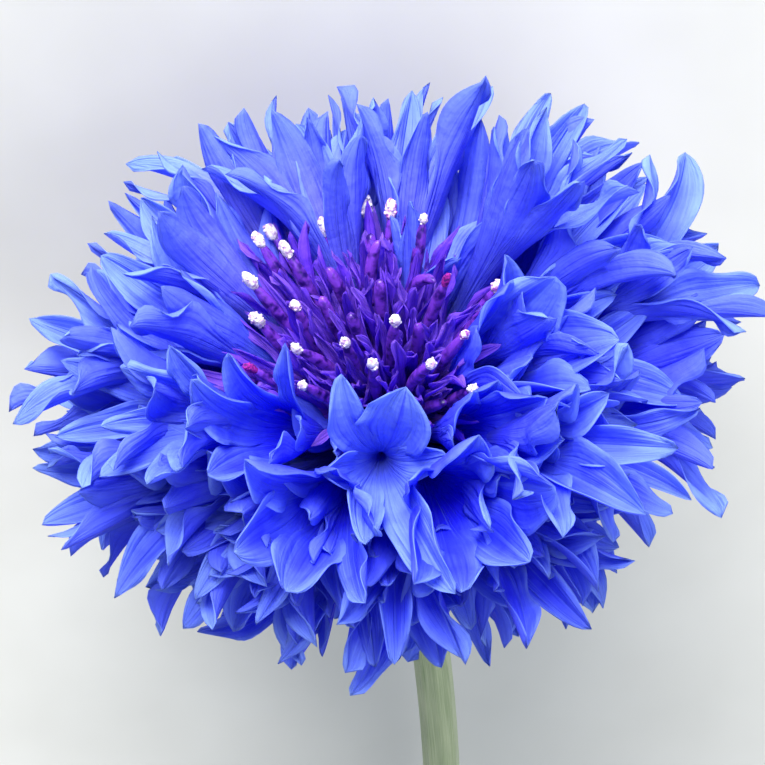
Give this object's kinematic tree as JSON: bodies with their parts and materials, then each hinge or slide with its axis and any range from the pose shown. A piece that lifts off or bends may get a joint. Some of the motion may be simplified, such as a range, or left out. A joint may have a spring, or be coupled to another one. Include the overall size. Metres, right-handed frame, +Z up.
{
  "type": "cornflower",
  "caption": "Double blue cornflower bloom, picked with a short bare stem and lying on its side: lobed trumpet florets around a purple middle, on a scaly green bud base.",
  "frame": {"origin": "middle of the underside of the whole object's box, on the surface that the flower lies on", "axes": "+Z up, away from the surface; -Y the way the flower faces, with its axis about 14 degrees above level; +Y towards the stem's cut end, the object's long way"},
  "size_m": [0.0474, 0.0964, 0.046],
  "materials": {
    "ray_petal": "satin",
    "disc_petal": "satin",
    "bract": "matte",
    "receptacle": "matte",
    "stem": "matte"
  },
  "bodies": {
    "root": {"ray_floret_01": "ray_petal", "ray_floret_02": "ray_petal", "ray_floret_03": "ray_petal", "ray_floret_04": "ray_petal", "ray_floret_05": "ray_petal", "ray_floret_06": "ray_petal", "ray_floret_07": "ray_petal", "ray_floret_08": "ray_petal", "ray_floret_09": "ray_petal", "ray_floret_10": "ray_petal", "ray_floret_11": "ray_petal", "ray_floret_12": "ray_petal", "ray_floret_13": "ray_petal", "ray_floret_14": "ray_petal", "ray_floret_15": "ray_petal", "ray_floret_16": "ray_petal", "ray_floret_17": "ray_petal", "ray_floret_18": "ray_petal", "ray_floret_19": "ray_petal", "ray_floret_20": "ray_petal", "ray_floret_21": "ray_petal", "ray_floret_22": "ray_petal", "ray_floret_23": "ray_petal", "ray_floret_24": "ray_petal", "ray_floret_25": "ray_petal", "ray_floret_26": "ray_petal", "ray_floret_27": "ray_petal", "ray_floret_28": "ray_petal", "ray_floret_29": "ray_petal", "ray_floret_30": "ray_petal", "ray_floret_31": "ray_petal", "ray_floret_32": "ray_petal", "ray_floret_33": "ray_petal", "ray_floret_34": "ray_petal", "ray_floret_35": "ray_petal", "ray_floret_36": "ray_petal", "disc_floret_01": "disc_petal", "disc_floret_02": "disc_petal", "disc_floret_03": "disc_petal", "disc_floret_04": "disc_petal", "disc_floret_05": "disc_petal", "disc_floret_06": "disc_petal", "disc_floret_07": "disc_petal", "disc_floret_08": "disc_petal", "disc_floret_09": "disc_petal", "disc_floret_10": "disc_petal", "disc_floret_11": "disc_petal", "disc_floret_12": "disc_petal", "bract_upper_1": "bract", "bract_upper_2": "bract", "bract_upper_3": "bract", "bract_upper_4": "bract", "bract_upper_5": "bract", "bract_lower_1": "bract", "bract_lower_2": "bract", "bract_lower_3": "bract", "bract_lower_4": "bract", "bract_lower_5": "bract", "receptacle": "receptacle", "stem": "stem"}
  },
  "joints": []
}
